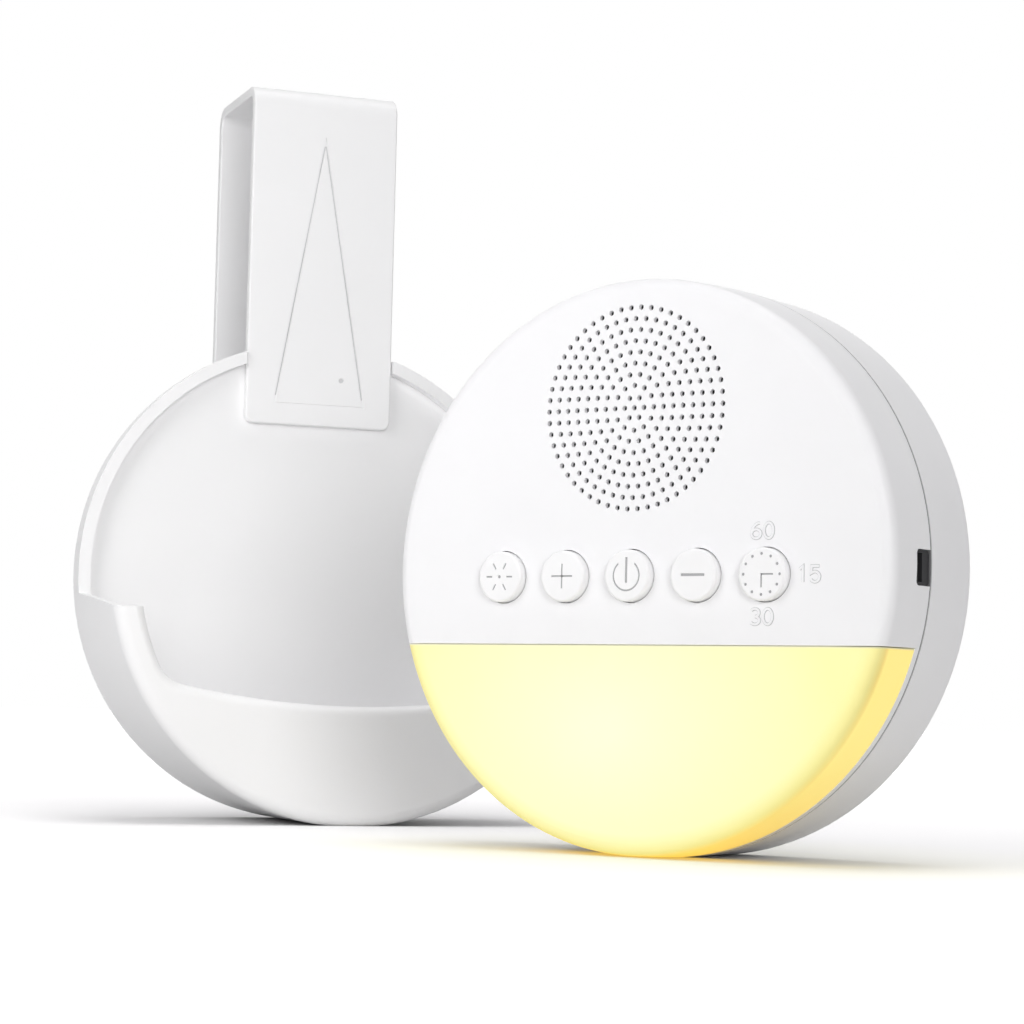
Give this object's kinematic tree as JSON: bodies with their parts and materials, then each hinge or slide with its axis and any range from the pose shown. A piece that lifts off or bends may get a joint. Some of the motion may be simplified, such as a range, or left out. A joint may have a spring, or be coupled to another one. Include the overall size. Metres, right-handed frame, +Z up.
{
  "type": "white noise sound machine",
  "caption": "Round battery sound machine with a speaker grille, push buttons and a night light, beside its hanging holder with a bent strap.",
  "frame": {"origin": "middle of the machine's flat base", "axes": "+Z up, the machine's face towards -Y, its charging port towards +X; the holder stands behind it on the left"},
  "size_m": [0.2429, 0.1365, 0.1867],
  "materials": {
    "shell": "fine matte white",
    "button": "fine matte white",
    "holder": "satin white",
    "night_light": "frosted, lit from inside",
    "marking": "grey ink",
    "cloth": "woven",
    "foam": "closed cell",
    "black_steel": "satin",
    "steel": "zinc",
    "ferrite": "matte",
    "rubber": "matte",
    "paper_cone": "pressed pulp",
    "copper": "enamelled",
    "switch_body": "moulded",
    "chip": "moulded",
    "circuit_board": "solder mask",
    "tray": "polished white",
    "lamp": "clear cap",
    "ribbon": "film",
    "cell": "shrink sleeve",
    "lead": "silicone"
  },
  "bodies": {
    "machine": {"front_panel": "shell", "night_light_diffuser": "night_light", "rear_housing": "shell", "usb_socket": "switch_body", "grille_cloth": "cloth", "speaker_gasket": "foam", "speaker_frame": "black_steel", "speaker_magnet": "ferrite", "speaker_yoke": "steel", "speaker_surround": "rubber", "tactile_switches": "switch_body", "main_board": "circuit_board", "board_chips": "chip", "light_tray": "tray", "led_board": "circuit_board", "led_lamps": "lamp", "led_ribbon": "ribbon", "battery_cell": "cell", "battery_foam": "foam", "battery_leads": "lead", "speaker_leads": "lead", "housing_screws": "steel", "board_screws": "steel", "speaker_screws": "steel", "light_screws": "steel"},
    "light_key": {"light_button": "button", "light_switch_plunger": "chip"},
    "plus_key": {"plus_button": "button", "plus_switch_plunger": "chip"},
    "power_key": {"power_button": "button", "power_switch_plunger": "chip"},
    "minus_key": {"minus_button": "button", "minus_switch_plunger": "chip"},
    "timer_key": {"timer_button": "button", "timer_switch_plunger": "chip"},
    "cone": {"speaker_cone": "paper_cone", "voice_coil": "copper"},
    "holder": {"holder_cradle": "holder", "hanging_strap": "holder", "strap_screws": "steel"}
  },
  "joints": [
    {"name": "light_press", "type": "slide", "parent": "machine", "child": "light_key", "axis": [0, 1, 0], "range_m": [0, 0.0008], "stiffness_N_per_m": 2000},
    {"name": "plus_press", "type": "slide", "parent": "machine", "child": "plus_key", "axis": [0, 1, 0], "range_m": [0, 0.0008], "stiffness_N_per_m": 2000},
    {"name": "power_press", "type": "slide", "parent": "machine", "child": "power_key", "axis": [0, 1, 0], "range_m": [0, 0.0008], "stiffness_N_per_m": 2000},
    {"name": "minus_press", "type": "slide", "parent": "machine", "child": "minus_key", "axis": [0, 1, 0], "range_m": [0, 0.0008], "stiffness_N_per_m": 2000},
    {"name": "timer_press", "type": "slide", "parent": "machine", "child": "timer_key", "axis": [0, 1, 0], "range_m": [0, 0.0008], "stiffness_N_per_m": 2000},
    {"name": "cone_travel", "type": "slide", "parent": "machine", "child": "cone", "axis": [0, 1, 0], "range_m": [-0.0005, 0.0005], "stiffness_N_per_m": 1500},
    {"name": "holder_move", "type": "slide", "parent": "machine", "child": "holder", "axis": [-0.8192, 0.5736, 0], "range_m": [0, 0.15]}
  ]
}
